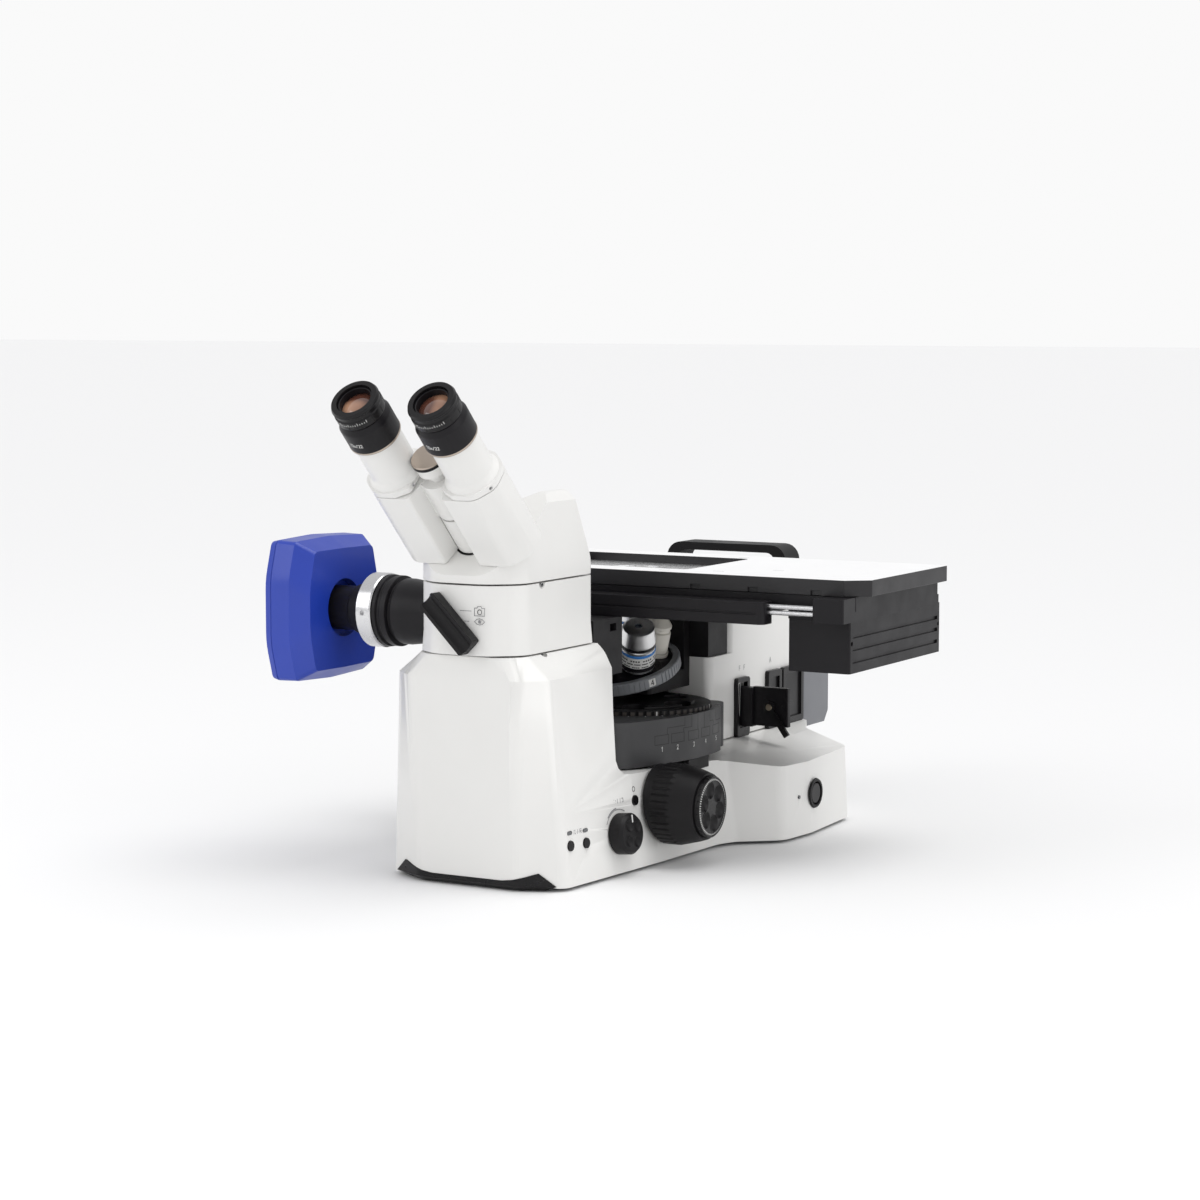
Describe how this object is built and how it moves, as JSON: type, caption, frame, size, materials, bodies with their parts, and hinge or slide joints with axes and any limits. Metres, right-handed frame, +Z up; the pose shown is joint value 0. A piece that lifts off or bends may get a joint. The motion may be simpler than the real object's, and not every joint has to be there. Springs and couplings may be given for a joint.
{
  "type": "inverted microscope",
  "caption": "Inverted laboratory microscope with a front tower, inclined swinging eyepieces, side camera, two-axis stage, tilted nosepiece and reflector turret.",
  "frame": {"origin": "foot of the optical axis of the objective in use, on the underside of the base plate; the floor is 2 mm lower", "axes": "+Z up along the optical axis, -Y towards the person at the eyepieces, +X to that person's right"},
  "size_m": [0.436, 0.659, 0.3957],
  "materials": {
    "black": "satin enamel",
    "black_plastic": "fine grained",
    "blue": "satin enamel",
    "chrome": "polished",
    "glass": "coated and polished",
    "green_light": "clear",
    "grey_paint": "satin enamel",
    "insert_grey": "anodised",
    "plate_grey": "bead blasted",
    "rubber": "matt",
    "silver": "turned",
    "steel": "ground",
    "white": "satin enamel"
  },
  "bodies": {
    "stand": {"stand_cover": "white", "base_plate": "plate_grey", "rubber_feet": "rubber", "front_toe": "black_plastic", "tower_back": "black_plastic", "light_path_piece": "white", "tube_head": "white", "clamp_screws": "steel", "light_train": "glass", "port_adapter": "black", "clamp_ring": "silver", "camera_neck": "black", "camera_body": "blue", "hinge_post": "steel", "hinge_cap": "silver", "column_cover": "white", "rear_housing": "grey_paint", "carry_handle": "black_plastic", "slide_frames": "black_plastic", "stage_bracket": "black", "stage_rear_block": "black", "stage_base": "black", "front_bar": "black", "reflector_module": "black", "focus_collars": "black", "rear_sockets": "black_plastic", "status_lights": "green_light", "power_unit": "steel", "lamp_unit": "plate_grey"},
    "left_tube_body": {"left_prism": "white", "left_tube": "white", "left_eyepiece": "black", "left_lens": "glass"},
    "right_tube_body": {"right_prism": "white", "right_tube": "white", "right_eyepiece": "black", "right_lens": "glass"},
    "left_diopter_ring": {"left_diopter": "black"},
    "right_diopter_ring": {"right_diopter": "black"},
    "selector_slide": {"selector": "black_plastic"},
    "coarse": {"coarse_drive": "black_plastic"},
    "fine": {"fine_drive": "steel"},
    "nosepiece": {"nosepiece_carrier": "black"},
    "turret": {"turret_disc": "black", "turret_ring": "silver", "objectives": "chrome", "turret_plugs": "black_plastic"},
    "stage_x": {"middle_plate": "black", "drive_box": "black", "guide_rods": "steel"},
    "stage_y": {"top_plate": "black", "specimen_insert": "insert_grey"},
    "reflector": {"reflector_wheel": "black_plastic"},
    "aperture": {"aperture_slide": "black"},
    "aperture_arm": {"aperture_lever": "steel"},
    "light_control": {"light_knob": "black_plastic"},
    "lamp_key": {"lamp_button": "black_plastic"},
    "view_key": {"view_button": "black_plastic"},
    "snap_key": {"snap_button": "black_plastic"},
    "power_switch": {"power_rocker": "black_plastic"}
  },
  "joints": [
    {"name": "right_tube_swing", "type": "hinge", "parent": "stand", "child": "right_tube_body", "pos_m": [0, -0.257, 0.269], "axis": [0, -0.7071, 0.7071], "range_deg": [-12, 40]},
    {"name": "left_tube_swing", "type": "hinge", "parent": "stand", "child": "left_tube_body", "pos_m": [0, -0.257, 0.269], "axis": [0, -0.7071, 0.7071], "range_deg": [-40, 12]},
    {"name": "right_diopter_turn", "type": "hinge", "parent": "right_tube_body", "child": "right_diopter_ring", "pos_m": [0.034, -0.36519, 0.37294], "axis": [0, -0.7071, 0.7071], "range_deg": [-150, 150]},
    {"name": "left_diopter_turn", "type": "hinge", "parent": "left_tube_body", "child": "left_diopter_ring", "pos_m": [-0.034, -0.36519, 0.37294], "axis": [0, -0.7071, 0.7071], "range_deg": [-150, 150]},
    {"name": "selector_pull", "type": "slide", "parent": "stand", "child": "selector_slide", "axis": [0, -1, 0], "range_m": [0, 0.02]},
    {"name": "coarse_turn", "type": "hinge", "parent": "stand", "child": "coarse", "pos_m": [0, -0.111, 0.048], "axis": [1, 0, 0], "range_deg": [-270.5, 720.5]},
    {"name": "nosepiece_lift", "type": "slide", "parent": "stand", "child": "nosepiece", "axis": [0, 0, 1], "range_m": [-0.003, 0.008]},
    {"name": "fine_turn", "type": "hinge", "parent": "stand", "child": "fine", "pos_m": [0, -0.111, 0.048], "axis": [1, 0, 0], "continuous": true},
    {"name": "turret_turn", "type": "hinge", "parent": "nosepiece", "child": "turret", "pos_m": [0, 0, 0.06392], "axis": [0, -0.309, 0.9511], "continuous": true},
    {"name": "stage_x_travel", "type": "slide", "parent": "stand", "child": "stage_x", "axis": [1, 0, 0], "range_m": [-0.04, 0.085]},
    {"name": "stage_y_travel", "type": "slide", "parent": "stage_x", "child": "stage_y", "axis": [0, 1, 0], "range_m": [-0.0425, 0.0425]},
    {"name": "reflector_turn", "type": "hinge", "parent": "stand", "child": "reflector", "pos_m": [0.02, -0.036, 0.114], "axis": [0, 0, 1], "continuous": true},
    {"name": "aperture_pull", "type": "slide", "parent": "stand", "child": "aperture", "axis": [1, 0, 0], "range_m": [0, 0.03]},
    {"name": "aperture_set", "type": "hinge", "parent": "aperture", "child": "aperture_arm", "pos_m": [0.085, 0.09, 0.102], "axis": [0, -1, 0], "range_deg": [-18, 25]},
    {"name": "light_knob_turn", "type": "hinge", "parent": "stand", "child": "light_control", "pos_m": [0.08313, -0.176, 0.032], "axis": [0.992, -0.0664, 0.1073], "range_deg": [-135, 135]},
    {"name": "lamp_press", "type": "slide", "parent": "stand", "child": "lamp_key", "axis": [-0.9952, 0.0661, -0.0719], "range_m": [0, 0.0009], "stiffness_N_per_m": 800, "springref_m": -0.001},
    {"name": "view_press", "type": "slide", "parent": "stand", "child": "view_key", "axis": [-0.9943, 0.0666, -0.083], "range_m": [0, 0.0009], "stiffness_N_per_m": 800, "springref_m": -0.001},
    {"name": "snap_press", "type": "slide", "parent": "stand", "child": "snap_key", "axis": [-0.9912, 0.0547, -0.1205], "range_m": [0, 0.0009], "stiffness_N_per_m": 800, "springref_m": -0.001},
    {"name": "power_rock", "type": "hinge", "parent": "stand", "child": "power_switch", "pos_m": [0.1345, 0.068, 0.034], "axis": [0, 0, 1], "range_deg": [0, 9]}
  ],
  "couplings": [
    {"joint": "left_tube_swing", "follows": "right_tube_swing", "ratio": -1},
    {"joint": "coarse_turn", "follows": "nosepiece_lift", "rad_per_m": 1570.8}
  ]
}
